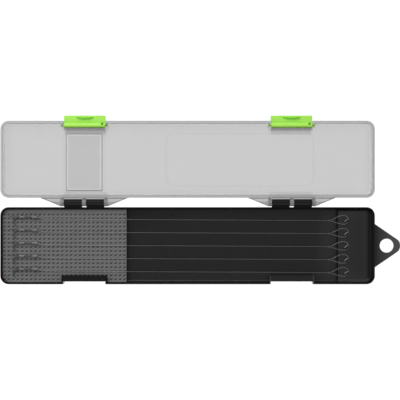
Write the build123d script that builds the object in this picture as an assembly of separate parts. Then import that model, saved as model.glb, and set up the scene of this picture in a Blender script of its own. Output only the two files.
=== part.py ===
from build123d import *
import math
import os

# A hard plastic box for ready-tied fishing rigs, opened out flat on a table.
# The black tray lies at -Y with a foam pad at its left end and a row of pegs
# at its right end. The clear lid lies at +Y, turned over on its two hinges,
# and carries two latches on its far edge. Five rigs are stretched from the
# foam to the pegs. Origin: centre of the tray's underside. +X runs to the
# hang tab, +Y to the hinges, +Z up. All lengths are in millimetres.

# Box, shared by the tray and the lid
body_length = 350.0
body_width = 72.0
tray_depth = 14.0
lid_depth = 14.0
corner_radius = 7.8
wall = 2.0
tray_wall = 1.6
floor_thickness = 1.8
draft_angle = 1.5
foot_radius = 1.6
rim_radius = 0.4
floor_cove = 1.4
rim_gap = 0.1
overrun = 1.0

# Latches and hinges stand a little to the tab's side of an even spacing
fitting_shift = 0.4

# Latch pockets, one U-shaped inset in the front wall for each latch
latch_inset = 78.0
latch_width = 39.0
latch_side_gap = 0.3
pocket_inset = 6.7
pocket_wall = 1.8
tray_pocket_wall = 1.2
pocket_side_wall = 1.4
pocket_round = 0.9

# Latches, turned up flat: a swing plate with a catch ridge and a finger edge
latch_heel = 2.4
latch_plate = 2.3
latch_reach = 9.3
latch_corner = 2.2
latch_edge = 0.4
latch_tip_round = 0.6
latch_heel_gap = 0.2
ridge_width = 16.4
ridge_depth = 1.8
ridge_crown = 1.4
ridge_height = 1.8
trunnion_radius = 1.1
trunnion_clearance = 0.05
trunnion_proud = 1.0
dimple_radius = 1.0
dimple_margin = 2.8
dimple_reach = 1.3
dimple_rise = 1.2

# Catch lip of the tray, which the latch ridge goes under
lip_height = 2.4
lip_edge_gap = 0.3
catch_gap = 0.2

# Hinges, with two tray barrels between the lid's two ears and its middle web
hinge_inset = 78.0
hinge_reach = 4.4
hinge_rise = 0.05
barrel_radius = 3.3
leaf_top_gap = 0.1
web_half = 1.75
barrel_length = 16.7
knuckle_gap = 0.25
ear_width = 3.05
knuckle_radius = 3.3
hinge_pin_radius = 1.0
hinge_pin_clearance = 0.05
hinge_pin_proud = 0.2
gusset_half = 41.2
gusset_thickness = 2.0
gusset_reach = 7.9
window_gap = 0.8
spot_radius = 1.8
spot_depth = 0.25
spot_offset = 28.6
spot_inset = 1.9

# Tongue round the lid's rim, which drops inside the tray's wall
tongue_height = 1.2
tongue_inset = 1.9
tongue_thickness = 1.2
tongue_rib_height = 4.0
tongue_pocket_gap = 1.8
tongue_seat = 1.5

# Panels moulded into the lid's top
label_length = 33.4
label_width = 53.3
label_shift = 1.1
label_step = 0.8
label_radius = 0.8
panel_length = 139.6
panel_width = 49.3
panel_end_inset = 55.9
panel_step = 0.3
panel_radius = 7.6
label_rise = 2.45

# Raised platform at the tray's right end, cored out underneath
platform_length = 34.1
platform_height = 9.9
platform_cove = 3.4
core_wall = 3.2
core_rib = 1.5
core_ribs = 2

# Pegs on the platform: slanted blades, each beside its moulding slot
peg_count = 5
peg_wall_gap = 11.6
peg_row_y = -0.7
peg_inset = 26.7
peg_length = 3.9
peg_thickness = 1.1
peg_height = 2.7
peg_lean = 0.7
peg_nose = 0.3
peg_turn = 42.0
slot_length = 3.2
slot_width = 1.3

# Hang tab at the right end
tab_thickness = 2.6
tab_root = 43.2
tab_tip = 8.0
tab_reach = 25.7
tab_round = 7.2
tab_edge = 0.5
tab_y = -0.4
hang_hole_radius = 6.6
hang_hole_reach = 12.8

# Foam pad that holds the hooks
foam_end_inset = 117.7
foam_thickness = 8.2
foam_gap = 0.1
foam_corner = 6.1

# Hooks, bedded in the foam by their points
hook_wire = 1.1
shank_length = 15.8
bend_radius = 4.75
point_leg = 3.4
point_length = 3.6
point_tip = 0.06
point_turn = 8.0
barb_length = 1.5
barb_rise = 0.5
barb_thickness = 0.4
hook_tilt = 15.0
hook_rise = 1.7
hook_row_shift = 3.2
eye_inset = 32.8
eye_radius = 1.25
eye_bore = 0.4
eye_thickness = 0.9

# Sleeve and eye tube on each shank
sleeve_length = 4.5
sleeve_radius = 0.95
sleeve_margin = 0.6
sleeve_clearance = 0.02
tube_length = 5.6
tube_mouth = 1.9
tube_bulge = 1.55
tube_skin = 0.25
tube_tail = 0.88
tube_mouth_radius = 0.8

# Line, hair and loop knot of each rig
line_diameter = 0.55
hair_diameter = 0.35
knot_length = 2.9
knot_radius = 0.9
knot_end_radius = 0.62
loop_length = 16.9
loop_nose = 2.6
cord_sides = 8
hair_side_share = 0.57

# Heights and centre lines that follow from the sizes above
latch_offset = body_length / 2 - latch_inset
hinge_offset = body_length / 2 - hinge_inset
latch_centres = [-latch_offset + fitting_shift, latch_offset + fitting_shift]
hinge_centres = [-hinge_offset + fitting_shift, hinge_offset + fitting_shift]
rim = tray_depth
front = -body_width / 2
back = body_width / 2
hinge_y = back + hinge_reach
hinge_z = rim + hinge_rise
lid_near = hinge_y + hinge_reach
lid_middle = lid_near + body_width / 2
lid_front = lid_near + body_width
pocket_half = latch_width / 2 + latch_side_gap
pocket_y = front + pocket_inset
pivot_y = lid_front - pocket_inset + latch_heel_gap + latch_heel
plate_outer = lid_front - pivot_y
plate_inner = plate_outer - latch_plate
lip_y = front + plate_outer - plate_inner + lip_edge_gap
ridge_near = latch_reach - ridge_depth - ridge_height + catch_gap
pivot_z = lid_depth + rim_gap + lip_height + catch_gap - ridge_near
barrel_start = web_half + knuckle_gap
barrel_end = barrel_start + barrel_length
ear_start = barrel_end + knuckle_gap
ear_end = ear_start + ear_width
platform_x = body_length / 2 - platform_length
peg_x = body_length / 2 - peg_inset
foam_base = floor_thickness
foam_top = foam_base + foam_thickness
foam_inset = tray_wall + (tray_depth - foam_top) * math.tan(math.radians(draft_angle)) + foam_gap
shank_z = foam_top + hook_rise
eye_x = -body_length / 2 + eye_inset
hook_radius = hook_wire / 2
bend_x = eye_x - shank_length
tube_end = eye_x + tube_mouth
line_radius = line_diameter / 2
knot_x = peg_x + loop_nose - loop_length
peg_pitch = (body_width - 2 * peg_wall_gap) / (peg_count - 1)
rows = [peg_row_y + peg_pitch * ((peg_count - 1) / 2 - i) for i in range(peg_count)]
label_x = -latch_offset - label_shift
panel_x = body_length / 2 - panel_end_inset - panel_length / 2


def drafted(length, width, radius, top, depth):
    """A rounded block that narrows downwards from its top face."""
    outline = Plane.XY.offset(top) * RectangleRounded(length, width, radius)
    return extrude(outline, amount=depth, dir=(0, 0, -1), taper=draft_angle)


def slab(x0, x1, y0, y1, z0, z1):
    """A block between two corners."""
    middle = Pos((x0 + x1) / 2, (y0 + y1) / 2, (z0 + z1) / 2)
    return middle * Box(x1 - x0, y1 - y0, z1 - z0)


def rod(radius, x0, x1, y, z):
    """A round bar along X."""
    return Pos((x0 + x1) / 2, y, z) * Rot(0, 90, 0) * Cylinder(radius, x1 - x0)


def outer_block(depth):
    """The outside of a tray or lid, its foot and rim edges rounded."""
    block = drafted(body_length, body_width, corner_radius, depth, depth)
    block = fillet(block.faces().sort_by(Axis.Z)[0].edges(), foot_radius)
    return fillet(block.faces().sort_by(Axis.Z)[-1].edges(), rim_radius)


def cavity(depth, floor, cove, side):
    """The hollow of a tray or lid inside its side wall, coved at its foot."""
    length = body_length - 2 * side
    width = body_width - 2 * side
    hollow = drafted(length, width, corner_radius - side, depth, depth - floor)
    hollow = fillet(hollow.faces().sort_by(Axis.Z)[0].edges(), cove)
    return hollow + drafted(length, width, corner_radius - side, depth + overrun, overrun)


def pocket_ribs(block, depth, centres, thickness):
    """The U-shaped wall behind each latch, standing in the hollow."""
    ribs = []
    for x in centres:
        side = pocket_half + pocket_side_wall
        rib = slab(x - side, x + side, front, pocket_y + thickness, 0, depth)
        rib = fillet(rib.edges().filter_by(Axis.Z).group_by(Axis.Y)[-1], pocket_round)
        ribs.append(rib & block)
    return ribs


def pocket_cuts(depth, centres):
    """The space that each latch swings in, open at the front and below."""
    cuts = []
    for x in centres:
        cuts.append(
            slab(x - pocket_half, x + pocket_half, front - overrun, pocket_y, -overrun, depth + overrun)
        )
    return cuts


def blade_peg():
    """A blade that leans towards its slot, standing at the origin."""
    side = Plane.YZ * Polygon(
        (peg_thickness / 2, -floor_thickness / 2),
        (peg_thickness / 2, 0),
        (peg_thickness / 2 - peg_lean, peg_height),
        (-peg_thickness / 2 - peg_lean - peg_nose, peg_height),
        (-peg_thickness / 2 - peg_lean - peg_nose, peg_height - peg_thickness),
        (-peg_thickness / 2, 0),
        (-peg_thickness / 2, -floor_thickness / 2),
        align=Align.NONE,
    )
    return extrude(side, amount=peg_length / 2, both=True)


def peg_slot():
    """The slot through the platform under the leaning side of a blade."""
    y = -peg_thickness / 2 - slot_width / 2
    return Pos(0, y, -floor_thickness / 2) * Box(slot_length, slot_width, floor_thickness + overrun)


def platform_core():
    """The cored underside of the platform, split by cross ribs."""
    x0 = platform_x + wall
    x1 = body_length / 2 - core_wall
    y1 = back - core_wall
    top = platform_height - floor_thickness
    core = slab(x0, x1, -y1, y1, -overrun, top)
    core = fillet(core.edges().filter_by(Axis.Z), wall)
    for i in range(core_ribs):
        y = -y1 + 2 * y1 * (i + 1) / (core_ribs + 1)
        core -= slab(x0 - overrun, x1 + overrun, y - core_rib / 2, y + core_rib / 2, -2 * overrun, top)
    return core


def hang_tab():
    """The tapered tab with its round hanging hole."""
    root_x = body_length / 2 - tray_wall
    tip_x = body_length / 2 + tab_reach
    spread = (tab_root - tab_tip) / 2 * tray_wall / tab_reach
    corners = [
        (root_x, -tab_root / 2 - spread),
        (tip_x, -tab_tip / 2),
        (tip_x, tab_tip / 2),
        (root_x, tab_root / 2 + spread),
    ]
    outline = make_face(FilletPolyline(*corners, radius=[0, tab_round, tab_round, 0], close=True))
    tab = extrude(outline, amount=tab_thickness)
    rims = tab.faces().sort_by(Axis.Z)
    tab = fillet(rims[0].edges() + rims[-1].edges(), tab_edge)
    hole = Pos(body_length / 2 + hang_hole_reach, 0, tab_thickness / 2)
    tab -= hole * Cylinder(hang_hole_radius, tab_thickness + overrun)
    return Pos(0, tab_y, 0) * tab


def tray_hinge(x):
    """Two barrels on leaves from the tray's rim."""
    leaf_low = hinge_z - barrel_radius
    parts = []
    for side in (-1, 1):
        x0 = x + side * barrel_start
        x1 = x + side * barrel_end
        low, high = min(x0, x1), max(x0, x1)
        leaf = slab(low, high, back - tray_wall / 2, hinge_y, leaf_low, rim - leaf_top_gap)
        barrel = leaf + rod(barrel_radius, low, high, hinge_y, hinge_z)
        parts.append(barrel)
    return parts


def hinge_bore(x):
    """The bore for a hinge pin."""
    reach = ear_end + overrun
    return rod(hinge_pin_radius + hinge_pin_clearance, x - reach, x + reach, hinge_y, hinge_z)


def base_tray():
    """The black tray: shell, catch lips, platform, pegs, tab and hinge barrels."""
    block = outer_block(tray_depth)
    end = body_length / 2 + overrun
    tall = tray_depth + 2 * overrun
    deep = cavity(tray_depth, floor_thickness, floor_cove, tray_wall)
    deep &= slab(-end, platform_x, front, back, -overrun, tall)
    shallow = cavity(tray_depth, platform_height, platform_cove, tray_wall)
    shallow &= slab(platform_x, end, front, back, -overrun, tall)
    body = block - (deep + shallow)
    for rib in pocket_ribs(block, tray_depth, latch_centres, tray_pocket_wall):
        body += rib
    for cut in pocket_cuts(tray_depth, latch_centres):
        body -= cut
    for x in latch_centres:
        x0 = x - pocket_half - pocket_side_wall / 2
        x1 = x + pocket_half + pocket_side_wall / 2
        body += slab(x0, x1, lip_y, pocket_y + tray_pocket_wall / 2, rim - lip_height, rim)
    body -= platform_core()
    for y in rows:
        place = Pos(peg_x, y, platform_height) * Rot(0, 0, peg_turn)
        body += place * blade_peg()
        body -= place * peg_slot()
    body += hang_tab() - slab(-end, body_length / 2 - tray_wall, front, back, -overrun, tall)
    for x in hinge_centres:
        for part in tray_hinge(x):
            body += part
        body -= hinge_bore(x)
    return body


def gusset(x):
    """The trapezoid plate of a lid hinge, with its ears, web and windows."""
    top = lid_depth
    low = lid_depth - gusset_thickness
    near = lid_near - gusset_reach
    outline = Polygon(
        (-gusset_half, lid_near),
        (-ear_end, near),
        (ear_end, near),
        (gusset_half, lid_near),
        (gusset_half, lid_near + wall / 2),
        (-gusset_half, lid_near + wall / 2),
        align=Align.NONE,
    )
    plate = Pos(x, 0, low) * extrude(outline, amount=gusset_thickness)
    knuckles = [(-web_half, web_half), (-ear_end, -ear_start), (ear_start, ear_end)]
    for x0, x1 in knuckles:
        plate += rod(knuckle_radius, x + x0, x + x1, hinge_y, hinge_z)
    far = lid_near - window_gap
    high = hinge_z + knuckle_radius + overrun
    for x0, x1 in ((-ear_start, -web_half), (web_half, ear_start)):
        plate -= slab(x + x0, x + x1, near - overrun, far, low - knuckle_radius, high)
    for side in (-1, 1):
        spot = Pos(x + side * spot_offset, lid_near - spot_inset, top - spot_depth / 2)
        plate -= spot * Cylinder(spot_radius, spot_depth + rim_gap)
    return plate


def tongue(centres):
    """The tongue round the lid's rim, on its rib, broken at the latch pockets."""
    top = lid_depth + tongue_height
    inner = tongue_inset + tongue_thickness
    inner_round = corner_radius - inner

    def ring(inset, z0, z1):
        outline = RectangleRounded(
            body_length - 2 * inset, body_width - 2 * inset, corner_radius - inset
        )
        outline -= RectangleRounded(body_length - 2 * inner, body_width - 2 * inner, inner_round)
        return Pos(0, 0, z0) * extrude(outline, amount=z1 - z0)

    rib_foot = lid_depth - tongue_rib_height
    bead = ring(tongue_inset, lid_depth - rim_gap, top) + ring(tongue_seat, rib_foot, lid_depth)
    for x in centres:
        half = pocket_half + pocket_side_wall + tongue_pocket_gap
        bead -= slab(x - half, x + half, front, front / 2, 0, top + overrun)
    return bead


def lid_panels(body):
    """The label step and the long shallow panel in the lid's top."""
    label = RectangleRounded(label_length, label_width, label_radius)
    panel = RectangleRounded(panel_length, panel_width, panel_radius)
    pad = Pos(label_x, lid_middle - label_rise, floor_thickness) * extrude(label, amount=label_step)
    sunk = offset(label, -label_step)
    recess = Pos(label_x, lid_middle - label_rise, 0) * extrude(sunk, amount=label_step)
    shallow = Pos(panel_x, lid_middle, 0) * extrude(panel, amount=panel_step)
    return body + pad - recess - shallow


def lid_shell():
    """The clear lid, open side up, with its hinge gussets and latch pockets."""
    block = outer_block(lid_depth)
    body = block - cavity(lid_depth, floor_thickness, floor_cove, wall)
    before_turn = [-x for x in latch_centres]
    body += tongue(before_turn)
    for rib in pocket_ribs(block, lid_depth, before_turn, pocket_wall):
        body += rib
    for cut in pocket_cuts(lid_depth, before_turn):
        body -= cut
    body = Pos(0, lid_middle, 0) * Rot(0, 0, 180) * body
    body = lid_panels(body)
    for x in hinge_centres:
        body += gusset(x)
        body -= hinge_bore(x)
    for x in latch_centres:
        reach = pocket_half + pocket_side_wall + overrun
        radius = trunnion_radius + trunnion_clearance
        body -= rod(radius, x - reach, x + reach, pivot_y, pivot_z)
    return body


def hinge_pin(x):
    """A steel pin through one hinge."""
    reach = ear_end + hinge_pin_proud
    return rod(hinge_pin_radius, x - reach, x + reach, hinge_y, hinge_z)


def latch(x):
    """A latch turned up flat; u is outward and w to the tray when it is shut."""
    heel = latch_heel
    shoulder = lid_depth + rim_gap - pivot_z - catch_gap
    slant = heel * math.sqrt(0.5)

    def at(u, w):
        return (pivot_y + w, pivot_z - u)

    profile = [
        ThreePointArc(at(0, -heel), at(-slant, -slant), at(-heel, 0)),
        ThreePointArc(
            at(-heel, 0),
            at(-heel * math.cos(math.radians(22.5)), heel * math.sin(math.radians(22.5))),
            at(-slant, slant),
        ),
        Line(at(-slant, slant), at(-slant + shoulder - slant, shoulder)),
        Line(at(-slant + shoulder - slant, shoulder), at(plate_inner, shoulder)),
        Line(at(plate_inner, shoulder), at(plate_inner, latch_reach)),
        Line(at(plate_inner, latch_reach), at(plate_outer, latch_reach)),
        Line(at(plate_outer, latch_reach), at(plate_outer, latch_corner - heel)),
        ThreePointArc(
            at(plate_outer, latch_corner - heel),
            at(
                plate_outer - latch_corner * (1 - math.sqrt(0.5)),
                -heel + latch_corner * (1 - math.sqrt(0.5)),
            ),
            at(plate_outer - latch_corner, -heel),
        ),
        Line(at(plate_outer - latch_corner, -heel), at(0, -heel)),
    ]
    side = Plane.YZ * make_face(profile)
    body = Pos(x, 0, 0) * extrude(side, amount=latch_width / 2, both=True)
    plate_top = pivot_z - plate_inner
    tip_edges = body.edges().filter_by(Axis.X).group_by(Axis.Y)[-1]
    body = fillet(tip_edges, latch_tip_round)
    ends = body.faces().filter_by(Axis.X)
    body = fillet(ends[0].edges() + ends[-1].edges(), latch_edge)

    half = ridge_width / 2
    near = pivot_y + ridge_near
    far = near + ridge_depth
    crown = far - (ridge_depth - ridge_crown)
    ridge = make_face(
        [
            ThreePointArc((x - half, far), (x, near), (x + half, far)),
            ThreePointArc((x + half, far), (x, crown), (x - half, far)),
        ]
    )
    sunk = latch_plate / 4
    body += Pos(0, 0, plate_top - sunk) * extrude(ridge, amount=ridge_height + sunk)
    dimple_x = x + latch_width / 2 - dimple_margin
    dimple = Pos(dimple_x, pivot_y + dimple_reach, pivot_z + dimple_rise + latch_heel)
    body -= dimple * Cylinder(dimple_radius, 2 * latch_heel)
    reach = pocket_half + pocket_side_wall + trunnion_proud
    body += rod(trunnion_radius, x - reach, x + reach, pivot_y, pivot_z)
    return body


def foam_pad():
    """The foam slab, cut to the slant of the walls and notched at the left latch."""
    right = foam_end_inset - body_length / 2
    pad = drafted(
        body_length - 2 * foam_inset, body_width - 2 * foam_inset, foam_corner, foam_top, foam_thickness
    )
    pad &= slab(-body_length / 2, right, front, back, 0, tray_depth)
    pad = chamfer(pad.faces().sort_by(Axis.Z)[0].edges(), floor_cove)
    reach = pocket_half + pocket_side_wall + foam_gap
    inner = pocket_y + tray_pocket_wall + foam_gap
    middle = latch_centres[0]
    return pad - slab(middle - reach, middle + reach, front, inner, 0, tray_depth)


def hook(row):
    """A hook with its shank along X and its point tilted down into the foam."""
    turn = math.radians(point_turn)
    lead = Vector(math.cos(turn), math.sin(turn))
    centre = Vector(-shank_length, -bend_radius)
    bend_mid = centre + Vector(-bend_radius, 0)
    bend_end = centre + Vector(math.sin(turn), -math.cos(turn)) * bend_radius
    leg_end = bend_end + lead * point_leg
    path = Wire(
        [
            Line((0, 0), (-shank_length, 0)),
            TangentArc((-shank_length, 0), bend_mid, tangent=(-1, 0)),
            TangentArc(bend_mid, bend_end, tangent=(0, -1)),
            Line(bend_end, leg_end),
        ]
    )
    start = Plane(origin=(0, 0, 0), z_dir=(-1, 0, 0))
    wire = sweep(start * Circle(hook_radius), path=path)
    tip = Plane(origin=leg_end, z_dir=lead)
    wire += tip * Pos(0, 0, point_length / 2) * Cone(hook_radius, point_tip, point_length)
    barb = Polygon(
        (0, 0), (barb_length, 0), (-barb_rise / 2, hook_radius + barb_rise), align=Align.NONE
    )
    place = Pos(leg_end) * Rot(0, 0, point_turn)
    wire += place * extrude(barb, amount=barb_thickness / 2, both=True)
    wire += Rot(90, 0, 0) * Cylinder(eye_radius, eye_thickness)
    wire -= Rot(90, 0, 0) * Cylinder(eye_bore, eye_thickness + overrun)
    return Pos(eye_x, row + hook_row_shift, shank_z) * Rot(hook_tilt, 0, 0) * wire


def shank_sleeve(row):
    """The silicone sleeve that traps the hair on the shank."""
    bore = hook_radius + sleeve_clearance
    ring = Circle(sleeve_radius) - Circle(bore)
    sleeve = extrude(Plane.YZ * ring, amount=sleeve_length)
    return Pos(bend_x + sleeve_margin, row + hook_row_shift, shank_z) * sleeve


def eye_tube(row):
    """The shrink tube over the eye, swollen round it and closed to a mouth."""
    bore = hook_radius + sleeve_clearance
    room = tube_bulge - tube_skin
    tail = tube_mouth - tube_length
    eye = eye_radius
    outline = make_face(
        [
            Line((tail, bore), (tail, tube_tail)),
            Line((tail, tube_tail), (-eye - tube_skin, tube_bulge)),
            Line((-eye - tube_skin, tube_bulge), (eye, tube_bulge)),
            ThreePointArc(
                (eye, tube_bulge),
                ((eye + tube_mouth) / 2 + tube_skin / 2, (tube_bulge + tube_mouth_radius) / 2 + tube_skin / 2),
                (tube_mouth, tube_mouth_radius),
            ),
            Line((tube_mouth, tube_mouth_radius), (tube_mouth, 0)),
            Line((tube_mouth, 0), (eye + tube_skin / 2, 0)),
            Line((eye + tube_skin / 2, 0), (eye + tube_skin / 2, room)),
            Line((eye + tube_skin / 2, room), (-eye, room)),
            Line((-eye, room), (tail + tube_skin, bore)),
            Line((tail + tube_skin, bore), (tail, bore)),
        ]
    )
    tube = revolve(outline, axis=Axis.X)
    return Pos(eye_x, row + hook_row_shift, shank_z) * tube


def bent_tube(points, radius):
    """A faceted cord along straight runs joined by arcs as large as they allow."""
    runs = [Vector(*b) - Vector(*a) for a, b in zip(points, points[1:])]
    bends = []
    for before, after in zip(runs, runs[1:]):
        half_turn = math.radians(before.get_angle(after)) / 2
        shorter = min(before.length, after.length)
        bends.append(0.45 * shorter / math.tan(half_turn))
    path = FilletPolyline(*points, radius=bends)
    start = Plane(origin=points[0], z_dir=runs[0])
    section = start * RegularPolygon(radius, cord_sides)
    tube = sweep(section, path=path)
    ideal = section.area * path.length
    print("cord radii", [round(r, 2) for r in bends])
    print("cord length", round(path.length, 2), "volume share", round(tube.volume / ideal, 4))
    return tube


# The line's route, from the eye tube's mouth to the loop and back into the knot
def line_route(row):
    """The points of one rig's line; its long run is pulled tight."""
    y = row + hook_row_shift
    z = shank_z
    k = knot_x
    r = row - 0.3
    low = platform_height + 0.75
    return [
        (tube_end, y - 0.45, z - 0.1),
        (tube_end + 3.1, y - 1.0, z - 0.2),
        (tube_end + 7.8, y - 2.15, z - 0.4),
        (k, r + 0.3, low + 0.1),
        (k + 5.0, r + 2.95, low),
        (k + 9.5, r + 4.75, low),
        (k + 13.9, r + 4.75, low - 0.1),
        (k + 16.9, r + 2.5, low - 0.1),
        (k + 16.9, r - 0.95, low - 0.1),
        (k + 14.0, r - 3.3, low - 0.1),
        (k + 9.6, r - 3.3, low),
        (k + 4.8, r - 1.9, low),
        (k, r - 0.3, low + 0.1),
        (k - 2.7, r - 0.34, low + 0.1),
    ]


def hair_route(row):
    """The points of one hair, from the sleeve to its free end on the foam."""
    x = bend_x + sleeve_margin
    y = row + hook_row_shift + sleeve_radius * hair_side_share
    z = shank_z + sleeve_radius * hair_side_share
    return [
        (x, y, z),
        (x - 2.6, y + 0.05, z - 0.15),
        (x - 5.2, y + 0.3, z - 0.75),
        (x - 7.6, y + 0.2, z - 1.55),
        (x - 9.8, y - 0.25, z - 1.85),
    ]


def loop_knot(row):
    """The small barrel knot that closes the line's loop."""
    half = knot_length / 2
    outline = make_face(
        [
            Line((-half, 0), (-half, knot_end_radius)),
            ThreePointArc((-half, knot_end_radius), (0, knot_radius), (half, knot_end_radius)),
            Line((half, knot_end_radius), (half, 0)),
            Line((half, 0), (-half, 0)),
        ]
    )
    tail = Vector(*line_route(row)[-1])
    mouth = Vector(*line_route(row)[3])
    middle = (tail + mouth) / 2
    return Pos(knot_x - half, middle.Y, middle.Z) * revolve(outline, axis=Axis.X)


os.makedirs("parts", exist_ok=True)
export_step(base_tray(), "parts/base_tray.step")
export_step(lid_shell(), "parts/lid_shell.step")
export_step(foam_pad(), "parts/foam_pad.step")
for i, name in enumerate(("left", "right")):
    export_step(hinge_pin(hinge_centres[i]), f"parts/hinge_pin_{name}.step")
    export_step(latch(latch_centres[i]), f"parts/latch_{name}.step")
for i, row in enumerate(rows, start=1):
    export_step(hook(row), f"parts/hook_{i}.step")
    export_step(shank_sleeve(row), f"parts/hook_sleeve_{i}.step")
    export_step(eye_tube(row), f"parts/eye_tube_{i}.step")
    export_step(bent_tube(hair_route(row), hair_diameter / 2), f"parts/hair_{i}.step")
    export_step(bent_tube(line_route(row), line_radius), f"parts/rig_line_{i}.step")
    export_step(loop_knot(row), f"parts/loop_knot_{i}.step")
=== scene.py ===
# %% [markdown]
# # A box for ready-tied carp rigs
# This lesson dresses a flat box that keeps five fishing rigs stretched and straight.
# The box comes in as a frame of rigid pieces in metres. They keep their shape here
# and get real finishes. The soft pieces, which are the foam and the lines, are made
# anew, because a rigid solid only holds their place.

# %% Load the frame
import math
import bpy
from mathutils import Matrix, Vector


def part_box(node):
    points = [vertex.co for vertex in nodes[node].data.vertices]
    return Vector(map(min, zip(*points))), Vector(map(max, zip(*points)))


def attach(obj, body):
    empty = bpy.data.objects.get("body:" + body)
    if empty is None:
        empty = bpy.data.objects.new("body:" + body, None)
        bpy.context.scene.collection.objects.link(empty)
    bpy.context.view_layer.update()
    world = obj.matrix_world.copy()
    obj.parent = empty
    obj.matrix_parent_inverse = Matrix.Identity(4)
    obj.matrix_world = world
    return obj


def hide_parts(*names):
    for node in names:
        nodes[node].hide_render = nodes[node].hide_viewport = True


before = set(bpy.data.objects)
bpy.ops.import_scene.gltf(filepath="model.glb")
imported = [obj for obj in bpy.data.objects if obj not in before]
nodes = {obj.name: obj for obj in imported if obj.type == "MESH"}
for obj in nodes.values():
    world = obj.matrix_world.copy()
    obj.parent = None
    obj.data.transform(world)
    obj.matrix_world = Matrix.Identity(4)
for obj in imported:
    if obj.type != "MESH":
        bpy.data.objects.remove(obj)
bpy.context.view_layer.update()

print("pieces in the frame:", len(nodes))

# %% [markdown]
# ## The camera
# The real box was pictured from straight above, lying open on a white table. A lens
# at a long distance does the same here. Its height and focal length are settled
# together, so that the frame is as wide as the picture at the height of the rims.

# %% Place the camera
rim_height = 0.014
camera_height = 1.097
frame_width = 0.3736
view_centre = (0.0116, 0.0427)
sensor = 36.0

camera = bpy.data.objects.new("camera", bpy.data.cameras.new("camera"))
bpy.context.scene.collection.objects.link(camera)
camera.data.sensor_width = sensor
camera.data.lens = sensor * camera_height / frame_width
camera.location = (*view_centre, rim_height + camera_height)
camera.data.clip_start, camera.data.clip_end = 0.05, 60
bpy.context.scene.camera = camera
print("lens:", round(camera.data.lens, 1), "mm")

# %% [markdown]
# ## Small helpers for modelling
# Every operator works on what is selected, so each step starts with a clean
# selection. Two helpers cover that: one picks an object, the other picks vertices
# of the object in edit mode by a rule on their place. The others name a new piece,
# put its place into its mesh, and add a modifier and apply it at once.

# %% Selection helpers
def pick(thing):
    if bpy.context.object and bpy.context.object.mode != "OBJECT":
        bpy.ops.object.mode_set(mode="OBJECT")
    bpy.ops.object.select_all(action="DESELECT")
    thing.select_set(True)
    bpy.context.view_layer.objects.active = thing
    return thing


def pick_points(thing, rule):
    pick(thing)
    bpy.ops.object.mode_set(mode="EDIT")
    bpy.ops.mesh.select_mode(type="VERT")
    bpy.ops.mesh.select_all(action="DESELECT")
    bpy.ops.object.mode_set(mode="OBJECT")
    for point in thing.data.vertices:
        point.select = rule(point.co)
    bpy.ops.object.mode_set(mode="EDIT")


def named(name):
    thing = bpy.context.object
    thing.name = thing.data.name = name
    return thing


def keep_place_in_mesh(thing):
    pick(thing)
    bpy.ops.object.transform_apply(location=True, rotation=True, scale=True)
    return thing


def finish_modifier(thing, kind, **settings):
    pick(thing)
    modifier = thing.modifiers.new(kind.lower(), kind)
    for key, value in settings.items():
        setattr(modifier, key, value)
    bpy.ops.object.modifier_apply(modifier=modifier.name)
    return thing


bpy.ops.object.select_all(action="DESELECT")
print("selected now:", len(bpy.context.selected_objects))

# %% [markdown]
# ## Where the rigs lie
# Five rigs lie side by side. Each has its hook in the foam at the left and its loop
# round a peg at the right, and every piece of a rig is placed from its row. The hooks
# lie a little further from the front than their pegs, as they do in the real box.

# %% Rows of rigs
peg_rows = [0.0237, 0.0115, -0.0007, -0.0129, -0.0251]
row_pitch = peg_rows[0] - peg_rows[1]
hook_row_shift = 0.0032
shank_height = 0.0117
tube_end = -0.1403       # where the line leaves the tube over the hook's eye
knot_x = 0.134
loop_height = 0.01065
loop_shift = -0.0003     # from a peg's row to the middle of its loop
print("rigs:", len(peg_rows))

# %% [markdown]
# ## Curves for lines
# A line could be a thin tube of faces, but a curve in Blender bends as a line does:
# one smooth NURBS spline with a round bevel. The few control points are where a hand
# would bend it, and the spline runs smoothly past them.

# %% Smooth curve
point_radius = 0.001   # a point's radius scales the bevel, and counts in the curve's box


def smooth_curve(name, route, diameter):
    data = bpy.data.curves.new(name, "CURVE")
    data.dimensions = "3D"
    data.resolution_u = 16
    data.bevel_depth = diameter / 2 / point_radius
    data.bevel_resolution = 3
    data.use_fill_caps = True
    spline = data.splines.new("NURBS")
    spline.points.add(len(route) - 1)
    for point, place in zip(spline.points, route):
        point.co, point.radius = (*place, 1), point_radius
    spline.order_u = 3
    spline.use_endpoint_u = True
    curve = bpy.data.objects.new(name, data)
    bpy.context.scene.collection.objects.link(curve)
    return curve


print("a curve's bevel is scaled by", point_radius)

# %% [markdown]
# ## The rig lines
# Each rig ends in a stiff line of fluorocarbon. It leaves the tube over the hook's
# eye, runs straight along the tray, and ends in a loop that is slipped over a peg
# and tied back on itself. The line is held tight between its hook in the foam and
# its peg, so it stays straight.

# %% Draw the lines
line_length, line_diameter = 0.316, 0.00055


def line_start(row):
    return (tube_end, row + hook_row_shift - 0.00045, shank_height - 0.0001)


def line_route(row):
    y, z = row + hook_row_shift, shank_height
    k, r, low = knot_x, row + loop_shift, loop_height
    return [
        line_start(row),
        (tube_end + 0.0031, y - 0.001, z - 0.0002),
        (tube_end + 0.0078, y - 0.00215, z - 0.0004),
        (k - 0.004, r + 0.0001, low + 0.0001), (k + 0.0002, r + 0.0001, low + 0.0001),
        (k + 0.005, r + 0.00295, low), (k + 0.0095, r + 0.00475, low),
        (k + 0.0139, r + 0.00475, low - 0.0001), (k + 0.0169, r + 0.0025, low - 0.0001),
        (k + 0.0169, r - 0.00095, low - 0.0001), (k + 0.014, r - 0.0033, low - 0.0001),
        (k + 0.0096, r - 0.0033, low), (k + 0.0048, r - 0.0019, low),
        (k, r - 0.0003, low + 0.0001), (k - 0.0027, r - 0.00034, low + 0.0001),
    ]


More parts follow.
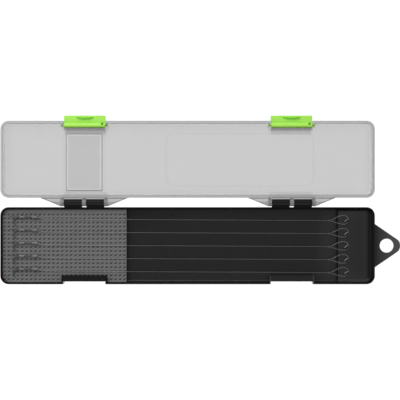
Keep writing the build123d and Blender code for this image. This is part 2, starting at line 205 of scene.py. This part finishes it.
lines = []
for number, row in enumerate(peg_rows, 1):
    line = smooth_curve(f"rig_line_{number}_fluoro", line_route(row), line_diameter)
    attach(line, "base")
    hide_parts(f"rig_line_{number}")
    lines.append(line)
print("lines:", [line.name for line in lines])

# %% [markdown]
# ## The loop knots
# A loop knot pulled tight is a little barrel of wraps. A ring as thick as the line
# is swept round the line with the Screw modifier, so that the wraps climb like a
# spring that is closed up. A face closes each of its two ends.

# %% Wind one knot
wrap_wire = 0.00024
wrap_radius = 0.0005
wrap_count = 6
knot_length = 0.0029


def wind_knot(name, centre):
    bpy.ops.object.select_all(action="DESELECT")
    bpy.ops.mesh.primitive_circle_add(vertices=10, radius=wrap_wire, fill_type="NOTHING",
                                      rotation=(math.pi / 2, 0, 0),
                                      location=(wrap_radius, 0, 0))
    knot = keep_place_in_mesh(named(name))
    pitch = (knot_length - 2 * wrap_wire) / wrap_count
    finish_modifier(knot, "SCREW", axis="Z", screw_offset=pitch, iterations=wrap_count,
                    steps=18, render_steps=18, use_merge_vertices=True)
    pick(knot)
    bpy.ops.object.mode_set(mode="EDIT")
    bpy.ops.mesh.select_mode(type="EDGE")
    bpy.ops.mesh.select_all(action="DESELECT")
    bpy.ops.mesh.select_non_manifold()
    bpy.ops.mesh.fill()
    bpy.ops.mesh.select_all(action="SELECT")
    bpy.ops.mesh.normals_make_consistent(inside=False)
    bpy.ops.object.mode_set(mode="OBJECT")
    bpy.ops.object.shade_smooth_by_angle(angle=math.radians(50))
    knot.rotation_euler = (0, math.pi / 2, 0)
    knot.location = (centre[0] - pitch * wrap_count / 2, centre[1], centre[2])
    return keep_place_in_mesh(knot)


print("wraps in a knot:", wrap_count)

# %% [markdown]
# Each line gets its own knot, just where the loop closes. With its knot in place a line is whole.

# %% Tie the knots
knot_middle = 0.13255
knots = []
for number, row in enumerate(peg_rows, 1):
    knot = wind_knot(f"loop_knot_{number}_wraps",
                     (knot_middle, row + loop_shift, loop_height + 0.0001))
    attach(knot, "base")
    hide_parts(f"loop_knot_{number}")
    knots.append(knot)
print("faces in a knot:", len(knots[0].data.polygons))

# %% [markdown]
# ## The hairs
# A hair is the centimetre of soft braid on which the bait hangs. It leaves the
# sleeve on the shank and lies back over the bend of the hook. It is far too short
# for a cord of its own, so it is drawn as a curve and then turned into a mesh.

# %% Shape the hairs
hair_diameter = 0.00035
sleeve_front = -0.1574
sleeve_side = 0.0005415


def hair_route(row):
    x, z = sleeve_front, shank_height + sleeve_side
    y = row + hook_row_shift + sleeve_side
    return [(x, y, z), (x - 0.0026, y + 0.00005, z - 0.00015),
            (x - 0.0052, y + 0.0003, z - 0.00075), (x - 0.0076, y + 0.0002, z - 0.00155),
            (x - 0.0098, y - 0.00025, z - 0.00185)]


for number, row in enumerate(peg_rows, 1):
    pick(smooth_curve(f"hair_{number}_braid", hair_route(row), hair_diameter))
    bpy.ops.object.convert(target="MESH")
    hair = bpy.context.object
    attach(hair, "base")
    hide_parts(f"hair_{number}")
print("hairs:", len(peg_rows))

# %% [markdown]
# ## The foam pad
# The pad is soft grey foam with a pressed top: rows of small pits with a low bump between each
# two, like a waffle. Thousands of faces could come from a texture, but real relief catches the
# light and keeps its shadows from every side. So one cell is shaped from a plane, whose vertices
# are pressed down into a slanted pit.

# %% Shape one cell
cell_x, cell_y = 0.00417, 0.003814
cell_steps = 6
pad_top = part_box("foam_pad")[1].z

bpy.ops.object.select_all(action="DESELECT")
bpy.ops.mesh.primitive_plane_add(size=1)
pad = named("foam_pad_waffle")
pad.scale = (cell_x, cell_y, 1)
keep_place_in_mesh(pad)
bpy.ops.object.mode_set(mode="EDIT")
bpy.ops.mesh.select_all(action="SELECT")
bpy.ops.mesh.subdivide(number_cuts=cell_steps - 1)
bpy.ops.object.mode_set(mode="OBJECT")


def steps_from(co, x, y):
    return abs(co.x / (cell_x / cell_steps) - x), abs(co.y / (cell_y / cell_steps) - y)


def press(rule, depth):
    pick_points(pad, rule)
    bpy.ops.transform.translate(value=(0, 0, -depth))
    bpy.ops.object.mode_set(mode="OBJECT")


pit = {(0, 0): 0.0013, (1, 0): 0.0011, (-1, 0): 0.0011, (1, 1): 0.0008, (-1, -1): 0.0008,
       (0, 1): 0.0007, (0, -1): 0.0007, (-1, 1): 0.0002, (1, -1): 0.0002}
for (steps_x, steps_y), depth in pit.items():
    press(lambda co: max(steps_from(co, steps_x, steps_y)) < 0.5, depth)
for reach, bump in ((1.5, 0.0003), (0.5, 0.0002)):
    press(lambda co: steps_from(co, 0, 0)[0] < reach and abs(co.y) > cell_y * 0.49, -bump)
press(lambda co: abs(co.x) > cell_x * 0.49, 0.0001)
print("faces in a cell:", len(pad.data.polygons))

# %% [markdown]
# ## The field of cells
# Two Array modifiers repeat the cell and merge its edges, which is quicker and more
# even than copies laid by hand. The field is then closed into a block: its far edge
# is flattened, its border is drawn down, and one face closes the underside.

# %% Repeat the cell and close the block
first_column, first_row = -0.16758, 0.02904
for count, step in ((29, (cell_x, 0, 0)), (19, (0, -cell_y, 0))):
    finish_modifier(pad, "ARRAY", count=count, use_relative_offset=False,
                    use_constant_offset=True, constant_offset_displace=step,
                    use_merge_vertices=True, merge_threshold=0.00002)
pad.location = (first_column - cell_x, first_row + cell_y, pad_top)
keep_place_in_mesh(pad)
pick_points(pad, lambda co: co.y > first_row + cell_y * 0.55)
bpy.ops.transform.resize(value=(1, 1, 0), center_override=(0, 0, pad_top))
bpy.ops.mesh.select_mode(type="EDGE")
bpy.ops.mesh.select_all(action="DESELECT")
bpy.ops.mesh.select_non_manifold()
bpy.ops.mesh.extrude_edges_move(TRANSFORM_OT_translate={"value": (0, 0, -0.011)})
bpy.ops.transform.resize(value=(1, 1, 0), center_override=(0, 0, -0.002))
bpy.ops.mesh.edge_face_add()
bpy.ops.mesh.select_all(action="SELECT")
bpy.ops.mesh.normals_make_consistent(inside=False)
bpy.ops.object.mode_set(mode="OBJECT")
print("faces in the block:", len(pad.data.polygons))

# %% [markdown]
# ## The pad's outline
# The real pad is cut to fit the tray, with rounded corners and a notch at the latch
# pocket. Its rigid stand-in has exactly that outline, so a copy of it, made a little
# taller than the relief, trims the block in a Boolean.

# %% Trim it to the outline
outline = bpy.data.objects.new("outline", nodes["foam_pad"].data.copy())
bpy.context.scene.collection.objects.link(outline)
pick(outline)
bpy.ops.object.mode_set(mode="EDIT")
bpy.ops.mesh.select_all(action="SELECT")
bpy.ops.mesh.remove_doubles(threshold=0.00001)
bpy.ops.object.mode_set(mode="OBJECT")
pick_points(outline, lambda co: co.z > pad_top - 0.0005)
bpy.ops.transform.translate(value=(0, 0, 0.001))
bpy.ops.object.mode_set(mode="OBJECT")
finish_modifier(pad, "BOOLEAN", operation="INTERSECT", object=outline, solver="EXACT")
bpy.data.objects.remove(outline)
pick(pad)
bpy.ops.object.shade_smooth_by_angle(angle=math.radians(55))
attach(pad, "base")
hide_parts("foam_pad")
print("faces in the pad:", len(pad.data.polygons))

# %% [markdown]
# ## A small language for finishes
# A finish is a net of nodes, and most of the nodes are plain sums. A class that
# stands for a socket lets Python write the sums: `1 - mask * 0.3` then adds two Math
# nodes. A mask is a value from 0 to 1 that says where on a piece something shows:
# `over` rises from 0 to 1 between two values, `under` falls, and `near` is a band.

# %% Sockets that can be added up
class Wire:
    def __init__(self, net, socket):
        self.net, self.socket = net, socket

    def join(self, operation, first, second=0.0):
        return self.net.add("ShaderNodeMath", {"operation": operation}, first, second)

    def __add__(self, other):
        return self.join("ADD", self, other)

    def __radd__(self, other):
        return self.join("ADD", other, self)

    def __sub__(self, other):
        return self.join("SUBTRACT", self, other)

    def __rsub__(self, other):
        return self.join("SUBTRACT", other, self)

    def __mul__(self, other):
        return self.join("MULTIPLY", self, other)

    def __rmul__(self, other):
        return self.join("MULTIPLY", other, self)

    def size(self):
        return self.join("ABSOLUTE", self)

    def most(self, other):
        return self.join("MAXIMUM", self, other)

    def diagonal(self, other):
        return self.join("SQRT", self * self + other * other)

    def over(self, low_value, high_value):
        return self.net.add("ShaderNodeMapRange", {"interpolation_type": "SMOOTHSTEP"},
                            self, low_value, high_value, 0.0, 1.0)

    def under(self, low_value, high_value):
        return 1 - self.over(low_value, high_value)

    def near(self, value, half, soft):
        return (self - value).size().under(half, half + soft)

    def from_nearest(self, start, pitch):
        steps = (self - start) * (1 / pitch)
        return (steps - steps.join("ROUND", steps)) * pitch


print("a socket can:", [name for name in vars(Wire) if not name.startswith("__")])

# %% [markdown]
# Every other node comes from one method of the net that holds the nodes. It takes
# the node's type, its settings, which are set first, and the values or links of its
# sockets, in their order or by their names.

# %% A net of nodes
class Net:
    def __init__(self, name, kind="materials"):
        self.owner = getattr(bpy.data, kind).new(name)
        self.owner.use_nodes = True
        self.tree = self.owner.node_tree
        self.tree.nodes.clear()
        self.place = self.add("ShaderNodeTexCoord", {}, out="Object")

    def put(self, socket, value):
        if isinstance(value, Wire):
            self.tree.links.new(value.socket, socket)
        else:
            socket.default_value = value

    def add(self, kind, settings, *values, out=0, at=None, **by_name):
        node = self.tree.nodes.new(kind)
        for key, value in settings.items():
            setattr(node, key, value)
        for socket, value in zip(node.inputs, values):
            self.put(socket, value)
        for key, value in {**(at or {}), **by_name}.items():
            self.put(node.inputs[key.replace("_", " ") if isinstance(key, str) else key], value)
        return Wire(self, node.outputs[out]) if len(node.outputs) else node


print("a net can:", [name for name in vars(Net) if not name.startswith("__")])

# %% [markdown]
# A finish is a net with the few things that nearly all finishes here need: noise, the
# place on the piece, a mix of two colours, a bump, the kinds of rays, and the distance
# to a rounded rectangle, which is the outline of most of this box.

# %% What finishes need
class Finish(Net):
    def noise(self, scale, detail=2.0, roughness=0.5):
        return self.add("ShaderNodeTexNoise", {}, Vector=self.place, Scale=scale,
                        Detail=detail, Roughness=roughness)

    def axes(self):
        return [self.add("ShaderNodeSeparateXYZ", {}, self.place, out=axis)
                for axis in range(3)]

    def outside(self, middle, reach, radius):
        x, y = [(along - centre).size() - (half - radius)
                for along, centre, half in zip(self.axes(), middle, reach)]
        corner = x.most(0.0).diagonal(y.most(0.0))
        return corner + x.join("MINIMUM", x.most(y)) - radius

    def rays(self, *kinds):
        path = self.tree.nodes.new("ShaderNodeLightPath")
        seen = Wire(self, path.outputs[kinds[0]])
        for kind in kinds[1:]:
            seen = seen.most(Wire(self, path.outputs[kind]))
        return seen

    def mix(self, mask, dark, light):
        return self.add("ShaderNodeMix", {"data_type": "RGBA"}, at={0: mask, 6: dark, 7: light},
                        out=2)

    def bump(self, height, strength, distance):
        return self.add("ShaderNodeBump", {}, Strength=strength, Distance=distance,
                        Height=height)

    def output(self, shader, volume=None):
        self.add("ShaderNodeOutputMaterial", {}, Surface=shader,
                 **({"Volume": volume} if volume else {}))
        return self.owner

    def surface(self, **sockets):
        return self.output(self.add("ShaderNodeBsdfPrincipled", {}, **sockets))


print("a finish can:", [name for name in vars(Finish) if not name.startswith("__")])

# %% [markdown]
# A finish is put on a piece by its name. Marks on a finish mostly make it darker, so
# one helper dims a tone by a list of masks, each with its share. The two hinges and
# the two latches stand in pairs at the same two places along the box, so one distance
# serves all four.

# %% Dressing helpers
fitting_x, fitting_shift = 0.097, 0.0004


def grey(value):
    return (value, value, value, 1)


def dimmed(tone, *marks):
    for mask, share in marks:
        tone = tone * (1 - mask * share)
    return tone


def from_fitting(x, beside=0.0):
    return ((x - (fitting_shift + beside)).size() - fitting_x).size()


def dress(finish, *names):
    for name in names:
        thing = bpy.data.objects[name]
        thing.data.materials.clear()
        thing.data.materials.append(finish)
    print(finish.name, "on", len(names), "with", len(finish.node_tree.nodes), "nodes")


print("fittings at:", fitting_shift - fitting_x, "and", fitting_shift + fitting_x)

# %% [markdown]
# ## Black moulded plastic
# The tray is black polypropylene. The floor, the platform and the tab have a fine even grain with
# a soft shine, which a thin coat gives. The rims and the walls have no coat, and painted shade
# makes them almost black. Painting this by hand needs a map of the surface, but here every place
# is a plain height or distance on the tray, so masks find it.

# %% Places on the tray
hollow_half, hollow_corner = (0.1741, 0.0351), 0.0069
riser_x, peg_x = 0.1405, 0.1483
shelf_height, slot_height = 0.0099, 0.0087

net = Finish("tray_black_grain")
x, y, z = net.axes()
from_wall = net.outside((0, 0), hollow_half, hollow_corner)
hollow = from_wall.under(-0.0001, 0.0001)
shelf = hollow * x.over(riser_x - 0.0003, riser_x + 0.0003) * z.near(shelf_height, 0.0002, 0.0002)
# Painted shade on the end of the shelf, by the end wall.
shelf_end_shade = hollow * x.over(0.166, 0.1708)
# A painted line of shade along the riser.
riser_shade_line = hollow * x.near(riser_x, 0.0005, 0.0003)
# Painted light on the floor before the riser.
light_by_riser = hollow * (1 - shelf) * x.over(0.118, 0.134)
barrels = y.over(0.0361, 0.0364)
wall_faces = hollow * (1 - shelf) * z.over(0.0026, 0.004) * y.over(-0.033, -0.031)
# The rims and the walls are painted almost black, as shade; the barrels are left out.
shaded_rims = (1 - (1 - wall_faces) * z.under(0.0126, 0.0131)) * (1 - barrels)
# The peg slots are painted dark, as shade.
slot_shade = hollow * x.near(peg_x + 0.0003, 0.004, 0.0002) * z.near(slot_height, 0.0009, 0.0001)
# The pegs are painted dark as shade, except for a painted highlight on one flank.
pegs_lit_and_shaded = y.near(0, 0.03, 0.001) * x.near(peg_x, 0.003, 0.0003) * z.over(0.0102, 0.0108)
print("nodes for the tray's places:", len(net.tree.nodes))

# %% [markdown]
# One flank of each peg gets a painted highlight, and the rest of each peg is painted dark, as
# shade. A flank is found by its distance from the peg's middle, square to the slant at which the
# pegs stand. The hang tab gets a painted sheen towards its tip and painted shade at its root, and
# the floor gets painted light beside the walls. Painted shade darkens the far left corner and the
# foot of the far wall. The latch pockets are cut low and keep the floor's grey; the right one is
# painted paler, as lit, and its lips get a painted highlight.

# %% Painted light and shade on the tray
peg_y = y.from_nearest(peg_rows[2], row_pitch)
# The painted highlight on the lit flank of each peg.
lit_flank = (peg_y * 0.743 - (x - peg_x) * 0.669).over(-0.0006, -0.0003)
# Painted light on the floor beside the walls.
floor_light_by_walls = from_wall.over(-0.014, -0.002) * (1 - barrels)
# A painted sheen on the hang tab, stronger towards its tip.
tab_tip_sheen = x.over(0.17, 0.203) * (1 - hollow) * z.under(0.004, 0.006)
# Painted shade at the root of the hang tab.
tab_root_shade = x.near(0.1755, 0.001, 0.004) * (1 - hollow)
tab_side = x.over(0.1722, 0.173)
barrel_glint = barrels * y.near(0.0389, 0.0004, 0.0003)
fitting = from_fitting(x)
right_one = x.over(0, 0.01)
# The latch pockets keep the floor's grey; the right one is painted paler, as lit, and its lips
# get a painted highlight.
pocket_tone_and_light = fitting.under(0.0203, 0.0207) * y.under(-0.0272, -0.0266) * z.over(0.003, 0.005)
pocket_lip_glint = right_one * fitting.near(0.0204, 0.0004, 0.0005) * y.under(-0.0285, -0.0275)
# Painted shade in the far left corner and a painted shadow at the foot of the far wall.
corner_shade = hollow * x.under(-0.05, 0.015) * y.over(0.008, 0.032)
far_wall_shadow = hollow * y.over(0.0322, 0.0333)
print("nodes with the marks:", len(net.tree.nodes))

# %% [markdown]
# The tone is built up from the moulded black. Painted light and a painted glint on the barrels
# are added, and painted shade dims the places that lie in the shade. The rims, painted almost
# black as shade, keep only the last small share.

# %% Tray finish
grain = net.noise(2600, 3.0)
cloud = net.noise(60, 2.0)
coat_and_shade = dimmed(1 - shaded_rims, (shelf_end_shade, 0.85), (slot_shade, 1), (pegs_lit_and_shaded, 1))
tone = 0.0075 + cloud * 0.002 + floor_light_by_walls * 0.006 + light_by_riser * 0.01 + barrel_glint * 0.014
tone = tone + shelf * (0.004 + x.under(0.146, 0.166) * 0.003)
tone = dimmed(tone, (riser_shade_line, 0.6), (corner_shade, 0.45), (far_wall_shadow, 0.6)) + tab_tip_sheen * 0.045
tone = dimmed(tone * coat_and_shade, (tab_root_shade, 0.5)) + 0.002 + tab_side * 0.007
tone = tone + pocket_tone_and_light * (0.0085 + right_one * 0.01) + pocket_lip_glint * 0.03
tray_black = net.surface(
    Base_Color=tone + pegs_lit_and_shaded * lit_flank * 0.2,
    Roughness=0.22 + grain * 0.08 + cloud * 0.05,
    Specular_IOR_Level=0.08,
    Coat_Weight=coat_and_shade * (1 - barrels) * 0.42, Coat_Roughness=0.22,
    Normal=net.bump(grain, 0.2, 0.00003))
dress(tray_black, "base_tray")

# %% [markdown]
# ## Clear moulded plastic
# The lid is smoky clear plastic. Its tint isn't even: painted shade draws a thin dark line along
# each moulded step, two lines are painted highlights, and the label panel is matt. These lines
# follow three rounded outlines, so each is a narrow band of the distance to one of them.

# %% Steps of the lid
lid_middle, lid_half, lid_corner = (0, 0.0808), (0.175, 0.036), 0.0078
label_middle, label_half, label_corner = (-0.0978, 0.07835), (0.0167, 0.02665), 0.0008
panel_middle, panel_half, panel_corner = (0.0493, 0.0808), (0.0698, 0.02465), 0.0076

net = Finish("lid_clear_smoke")
x, y, z = net.axes()
rim = net.outside(lid_middle, lid_half, lid_corner)
label = net.outside(label_middle, label_half, label_corner)
panel = net.outside(panel_middle, panel_half, panel_corner)

matt = label.under(-0.0003, 0.0001)
# Painted shade: thin dark lines along the label's outline and its front edge, and a faint halo
# round it.
label_edge_shade = label.near(0.0002, 0.0003, 0.0003)
label_front_shade = label_edge_shade * y.under(0.052, 0.053)
label_halo_shade = label.under(0.001, 0.0045) * (1 - matt)
# A painted highlight just inside the label's outline.
label_glint = label.near(-0.0011, 0.0004, 0.0003) * y.over(0.0525, 0.053)
# Painted shade along the panel's outline, beside the walls and along their inner edge.
panel_edge_shade = panel.near(0.0, 0.0003, 0.0004)
beside_wall_shade = rim.over(-0.012, -0.003) * rim.under(-0.0026, -0.0024)
wall_edge_shade = rim.near(-0.0023, 0.0002, 0.0003)
# A painted highlight along the foot of the wall.
foot_highlight = rim.near(-0.003, 0.0003, 0.0003)
# Painted shade along the far foot of the wall and on the front rim.
far_or_right = 1 - y.under(0.1, 0.108) * x.under(0.165, 0.169)
far_foot_shade = rim.near(-0.0041, 0.0004, 0.0005) * far_or_right
front_rim_shade = y.near(0.0457, 0.0012, 0.0004)
print("nodes for the lid's steps:", len(net.tree.nodes))

# %% [markdown]
# Painted shadow lies below the latches, and painted shade before them, in their gap and at their
# sides. The ears of the hinges are the thickest places of the lid and the darkest. A gusset
# stands each side of a hinge, and its slanted edge is a line at a steady angle away from the
# hinge. Painted shade lies over each gusset and on the strips at each hinge.

# %% Fittings of the lid
fitting = from_fitting(x)
# Painted shadow below the latches, milder on the right one, and painted shade before them, in
# their gap and at their sides.
latch_shadow = fitting.under(0.018, 0.0205) * y.over(0.1035, 0.1085)
latch_shadow = latch_shadow * (1 - x.over(0, 0.01) * y.under(0.1068, 0.1086) * 0.45)
before_latch_shade = fitting.under(0.0185, 0.02) * y.near(0.1056, 0.0009, 0.0005)
latch_gap_shade = fitting.under(0.0195, 0.02) * y.over(0.1083, 0.1087)
latch_side_shade = fitting.near(0.0209, 0.0005, 0.0003) * y.near(0.1139, 0.003, 0.0004)
ears = fitting.under(0.0219, 0.0222) * y.under(0.0436, 0.044)
# Painted shade on the strip at each hinge, before it, and over each gusset with its low part,
# slanted edge and root.
hinge_strip_shade = fitting.under(0.0215, 0.0225) * y.near(0.0449, 0.0019, 0.0003)
before_hinge_shade = fitting.under(0.019, 0.022) * y.near(0.0487, 0.0012, 0.0008)
gusset_shade = (1 - ears) * y.under(0.0446, 0.045)
gusset_low_shade = gusset_shade * y.under(0.0405, 0.0422)
gusset_edge_shade = gusset_shade * (y * 0.9246 - fitting * 0.3808).near(0.0262, 0.0003, 0.0003)
gusset_root_shade = gusset_shade * y.near(0.0441, 0.0003, 0.0002) * fitting.over(0.022, 0.0225)
print("nodes with the fittings:", len(net.tree.nodes))

# %% [markdown]
# Light loses some of its strength at each face and more of it along the thickness, so the flat
# panels look light and the walls, seen edge on, look darker. A tint in the shader does the first
# and a plain absorbing volume does the second. The painted shade and painted highlights of the
# lid are carried by the tint too. A shader for glass keeps lamps from shining through it, so its
# shadow rays get a clear tinted shader and the box under the lid isn't dark. The edge of the rim
# and the thick ears are cloudy, so a dull shader is mixed in there.

# %% Lid finish
haze = net.noise(90, 2.0)
scuffs = net.noise(1800, 2.0)
# The tint is dimmed by the painted shade and raised by the painted highlights.
tint = dimmed(
    0.589 + z.over(0.002, 0.0035) * 0.24,
    (matt, 0.2), (label_edge_shade, 0.36), (label_halo_shade, 0.035), (label_front_shade, 0.3),
    (label_glint, -0.3), (panel_edge_shade, 0.045), (beside_wall_shade, 0.03), (wall_edge_shade, 0.26),
    (foot_highlight, -0.08), (far_foot_shade, 0.045), (front_rim_shade, 0.16),
    (latch_shadow, 0.4), (before_latch_shade, 0.08), (latch_gap_shade, 0.36), (latch_side_shade, 0.35),
    (hinge_strip_shade, 0.6), (before_hinge_shade, 0.1), (gusset_root_shade, 0.5),
    (gusset_shade, 0.38), (gusset_low_shade, 0.3), (gusset_edge_shade, 0.45))
tint = tint * (0.985 + matt * (scuffs - 0.5) * 0.12 + haze * 0.03)
glass = net.add("ShaderNodeBsdfPrincipled", {}, Base_Color=tint,
                Roughness=0.05 + haze * 0.06 + matt * 0.3, IOR=1.46,
                Transmission_Weight=1.0, Normal=net.bump(scuffs, 0.06, 0.00002))
milk = net.add("ShaderNodeBsdfPrincipled", {}, Base_Color=0.5 - ears * 0.27, Roughness=0.5)
rim_edge = rim.over(-0.0028, -0.002) * z.over(0.0095, 0.0125) * y.over(0.0449, 0.0451)
cloudy = (rim_edge * 0.85).most(ears * 0.8)
body = net.add("ShaderNodeMixShader", {}, cloudy, glass, milk)
shade = net.add("ShaderNodeBsdfTransparent", {}, Color=grey(0.8))
clear = net.add("ShaderNodeMixShader", {}, net.rays("Is Shadow Ray"), body, shade)
lid_clear = net.output(clear, net.add("ShaderNodeVolumeAbsorption", {}, grey(0.3), 15.0))
dress(lid_clear, "lid_shell")

# %% [markdown]
# ## Lime latches
# The latches are solid lime plastic with a satin skin. The finger groove gets a painted shadow
# and the dimple by the right end painted shade. A second and a third colour are mixed in there,
# because a darker lime isn't a greyer one.

# %% Latch finish
groove_start, groove_height = 0.1152, 0.0092
dimple_side, dimple_y, dimple_radius = 0.0167, 0.114, 0.0012
# Deeper lime greens for the painted shadow in the groove and the painted shade in the dimple.
groove_shade_green, dimple_shade_green = (0.1, 0.52, 0.0, 1), (0.07, 0.35, 0.0, 1)

net = Finish("latch_lime")
grain = net.noise(1900, 2.0)
cloud = net.noise(160, 2.0)
x, y, z = net.axes()
# Masks for the painted shadow in the finger groove and the painted shade in the dimple.
groove_shade = (y.over(groove_start, groove_start + 0.0005)
          * z.over(groove_height, groove_height + 0.0005))
dimple_shade = from_fitting(x, dimple_side).diagonal(y - dimple_y).near(0, dimple_radius, 0.0003)
lime = net.mix(cloud, (0.37, 0.8, 0.07, 1), (0.43, 0.87, 0.11, 1))
lime = net.mix(groove_shade * 0.85, lime, groove_shade_green)
latch_green = net.surface(
    Base_Color=net.mix(dimple_shade * 0.95, lime, dimple_shade_green),
    Roughness=0.3 + grain * 0.12,
    Normal=net.bump(grain, 0.2, 0.00004))
dress(latch_green, "latch_left", "latch_right")

# %% [markdown]
# ## Foam
# Foam scatters light in its cells: it is dull. The walls of its pits are painted darker than its
# top, as shade. The mask for that is the height on the pad, and a fine noise gives the open
# cells. Painted shadows darken the foam under the hooks, along a band beside their bends and one
# under each shank. The foam is painted paler beside the walls, as light, and its far edge dark,
# as shadow.

# %% Foam finish
foam_half, foam_corner = (0.1732, 0.0342), 0.0061
foam_dark, foam_pale = 0.048, 0.214

net = Finish("foam_grey_cells")
cells = net.noise(3200, 3.0, 0.7)
cloud = net.noise(110, 2.0)
x, y, z = net.axes()
# Painted light on the foam beside the walls.
foam_light_by_walls = net.outside((0, 0), foam_half, foam_corner).over(-0.0035, -0.0005)
# A painted shadow along the far edge of the foam.
far_edge_shadow = y.over(0.0332, 0.0336)
# The tops are paler than the painted shade in the pits.
unshaded_tops = z.over(pad_top - 0.0012, pad_top + 0.0006)
row_gap = y.from_nearest(peg_rows[2] + 0.0004, row_pitch).size()
# Painted shadows of the hooks, under each shank and beside the bends.
shank_shadows = row_gap.near(0.0, 0.0012, 0.0016) * x.near(-0.1505, 0.0125, 0.004)
bend_shadows = x.near(-0.162, 0.0012, 0.0018) * y.under(0.025, 0.028) * y.over(-0.027, -0.024)
tone = unshaded_tops * 0.7 + cells * 0.2 + cloud * 0.1 + foam_light_by_walls * 0.22
tone = dimmed(tone, (shank_shadows.most(bend_shadows), 0.25), (far_edge_shadow, 0.9))
foam_grey = net.surface(
    Base_Color=net.mix(tone, grey(foam_dark), grey(foam_pale)),
    Roughness=0.95,
    Specular_IOR_Level=0.15,
    Normal=net.bump(cells, 0.5, 0.00015))
dress(foam_grey, "foam_pad_waffle")

# %% [markdown]
# ## Metal and the small pieces of a rig
# The hooks have a dark dull coating and the hinge pins are bare bright steel. The
# sleeve that traps the hair is silicone, the tube over the eye is grey shrink tube
# and the hair is braid. At this size a finish is mostly its colour and its gloss, so
# all five are one speckled finish with other numbers.

# %% Speckled finishes
def speckled(name, scale, dark, light, dull, swing=0.0, **sockets):
    net = Finish(name)
    speck = net.noise(scale, 2.0)
    return net.surface(Base_Color=net.mix(speck, grey(dark), grey(light)),
                       Roughness=dull + speck * swing if swing else dull, **sockets)


def each_rig(name):
    return [name.format(number) for number in range(1, len(peg_rows) + 1)]


dress(speckled("hook_dark_coat", 4000, 0.08, 0.13, 0.38, 0.12, Metallic=0.85),
      *each_rig("hook_{}"))
dress(speckled("pin_bright_steel", 3000, 0.5, 0.68, 0.22, 0.12, Metallic=1.0),
      "hinge_pin_left", "hinge_pin_right")
dress(speckled("sleeve_silicone", 2500, 0.13, 0.19, 0.25, 0.1), *each_rig("hook_sleeve_{}"))
dress(speckled("tube_shrink_grey", 2500, 0.11, 0.16, 0.3, 0.1), *each_rig("eye_tube_{}"))
dress(speckled("hair_braid_dark", 5000, 0.03, 0.07, 0.8), *each_rig("hair_{}_braid"))

# %% [markdown]
# ## Fluorocarbon
# The lines are grey and glassy. A clear line takes on the tone of what lies under it,
# so it looks paler over the foam and the platform than over the black floor. At half
# a millimetre, true glass would only add noise, so the tone follows the place.

# %% Line finish
net = Finish("line_fluoro_grey")
along = net.noise(700, 2.0)
x = net.axes()[0]
on_foam, on_shelf = x.under(-0.06, -0.055), x.over(0.134, 0.137)
line_grey = net.surface(
    Base_Color=(along * 0.02 + 0.065) * (1 + on_foam * 1.9 + on_shelf * 0.9),
    Roughness=0.28 + along * 0.08)
dress(line_grey, *[thing.name for thing in lines + knots])

# %% [markdown]
# ## The table
# The table is white. A diffuse floor alone would be grey in places, so rays from the
# camera, and rays mirrored by or passed through the object, also see a plain white
# glow. The rest of the floor is still diffuse and keeps the object's soft shadow.
# There is no glow under the tray, where it would shine up through the peg slots.

# %% Floor
background_rays = ("Is Camera Ray", "Is Glossy Ray", "Is Transmission Ray")
glow_share, glow_strength = 0.86, 1.13

bpy.ops.object.select_all(action="DESELECT")
bpy.ops.mesh.primitive_plane_add(size=16, location=(0, 0, -0.0002))
floor = keep_place_in_mesh(named("floor"))
net = Finish("floor_white")
seen = net.rays(*background_rays)
paint = net.add("ShaderNodeBsdfDiffuse", {}, Color=grey(0.85))
glow = net.add("ShaderNodeEmission", {}, Color=grey(1.0), Strength=glow_strength)
open_floor = net.outside((0, 0), (0.174, 0.035), 0.007).over(-0.002, 0.0)
glowing = seen * open_floor * glow_share
dress(net.output(net.add("ShaderNodeMixShader", {}, glowing, paint, glow)), "floor")

# %% [markdown]
# ## The lamps
# Two large soft lamps light the box, like tents in a studio: one behind it, which
# gives the rims their glint, and a weaker one at the left.

# %% Lamps
def softbox(name, place, size, power):
    lamp = bpy.data.objects.new(name, bpy.data.lights.new(name, "AREA"))
    bpy.context.scene.collection.objects.link(lamp)
    lamp.data.shape, lamp.data.size, lamp.data.energy = "SQUARE", size, power
    lamp.location = place
    direction = camera.location.copy()
    direction.z = 0
    lamp.rotation_euler = (direction - lamp.location).to_track_quat("-Z", "Y").to_euler()
    return lamp


lamps = [softbox("lamp_back", (-0.35, 1.0, 1.35), 1.0, 13.0),
         softbox("lamp_left", (-1.1, -0.2, 1.3), 0.9, 4.5)]
print("lamps:", [lamp.name for lamp in lamps])

# %% [markdown]
# ## The sky
# An even sky fills the shadows. Past the floor's far edge the rays that see the glow
# of the table meet a white backdrop, as high as a wall. Above it, mirrored rays see
# the plain sky, so the black plastic keeps its depth.

# %% Sky
net = Finish("sky", "worlds")
direction = net.add("ShaderNodeTexCoord", {}, out="Generated")
height = net.add("ShaderNodeSeparateXYZ", {}, direction, out=2)
wall = net.rays(*background_rays) * height.under(0.3, 0.5)
even_light = net.add("ShaderNodeBackground", {}, Color=grey(1.0), Strength=0.5)
white_wall = net.add("ShaderNodeBackground", {}, Color=grey(1.0), Strength=1.0)
net.add("ShaderNodeOutputWorld", {},
        Surface=net.add("ShaderNodeMixShader", {}, wall, even_light, white_wall))
bpy.context.scene.world = net.owner
bpy.context.scene.view_settings.view_transform = "Standard"
print("sky nodes:", len(net.tree.nodes))

# %% [markdown]
# ## The sizes
# The dressed box has to be as large as its frame.
